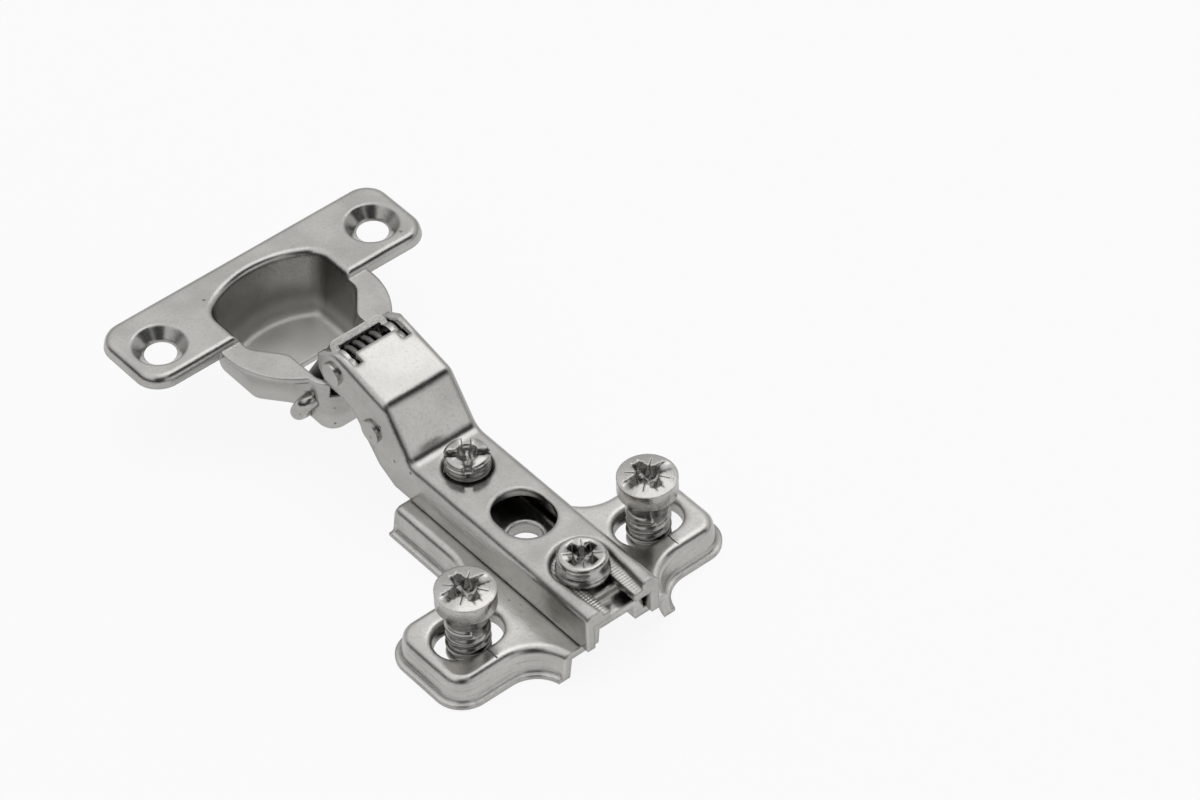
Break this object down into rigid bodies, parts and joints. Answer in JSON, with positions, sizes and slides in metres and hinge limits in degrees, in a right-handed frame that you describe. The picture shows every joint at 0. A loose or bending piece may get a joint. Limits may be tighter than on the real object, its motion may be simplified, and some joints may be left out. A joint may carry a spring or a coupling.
{
  "type": "concealed cabinet hinge",
  "caption": "Concealed cabinet hinge: a drawn cup with a screw flange, a cranked slide-on arm with a four-bar linkage and spring, and a cross-shaped mounting plate with screws.",
  "frame": {"origin": "on the cabinet's side face (the foot of the plate's rim), midway between the two cabinet screws", "axes": "+X along the arm towards the cup, +Y along the row of cabinet screws, +Z out of the cabinet side"},
  "size_m": [0.0864, 0.05, 0.0207],
  "materials": {
    "plated_sheet": "satin nickel plate",
    "plated_screw": "bright nickel plate",
    "pin_steel": "satin",
    "spring_wire": "drawn wire"
  },
  "bodies": {
    "plate": {"mounting_plate": "plated_sheet", "cabinet_screw_left": "plated_screw", "cabinet_screw_right": "plated_screw"},
    "clamp": {"clamp_screw": "plated_screw"},
    "arm_body": {"arm": "plated_sheet", "front_arm_pin": "pin_steel", "rear_arm_pin": "pin_steel", "torsion_spring": "spring_wire"},
    "adjuster": {"adjusting_screw": "plated_screw"},
    "outer": {"outer_link": "plated_sheet"},
    "cup": {"hinge_cup": "plated_sheet", "cup_pin": "pin_steel"},
    "inner": {"inner_link": "plated_sheet"}
  },
  "joints": [
    {"name": "cup_swing", "type": "hinge", "parent": "outer", "child": "cup", "pos_m": [0.04635, 0, 0.00835], "axis": [0, -1, 0], "range_deg": [0, 127.8]},
    {"name": "outer_link_swing", "type": "hinge", "parent": "arm_body", "child": "outer", "pos_m": [0.03265, 0, 0.01215], "axis": [0, -1, 0], "range_deg": [-37.9, 0.1]},
    {"name": "inner_link_swing", "type": "hinge", "parent": "cup", "child": "inner", "pos_m": [0.0486, 0, 0.0046], "axis": [0, -1, 0], "range_deg": [-105.95, 0.1]},
    {"name": "arm_slide", "type": "slide", "parent": "plate", "child": "arm_body", "axis": [1, 0, 0], "range_m": [-0.0004, 0.003]},
    {"name": "clamp_screw_turn", "type": "hinge", "parent": "plate", "child": "clamp", "pos_m": [-0.0053, 0, 0.008], "axis": [0, 0, 1], "continuous": true},
    {"name": "adjusting_screw_turn", "type": "hinge", "parent": "arm_body", "child": "adjuster", "pos_m": [0.0194, 0, 0.01], "axis": [0, 0, 1], "continuous": true}
  ],
  "couplings": [
    {"joint": "outer_link_swing", "follows": "cup_swing", "ratio": -0.29577},
    {"joint": "inner_link_swing", "follows": "cup_swing", "ratio": -0.82817}
  ]
}
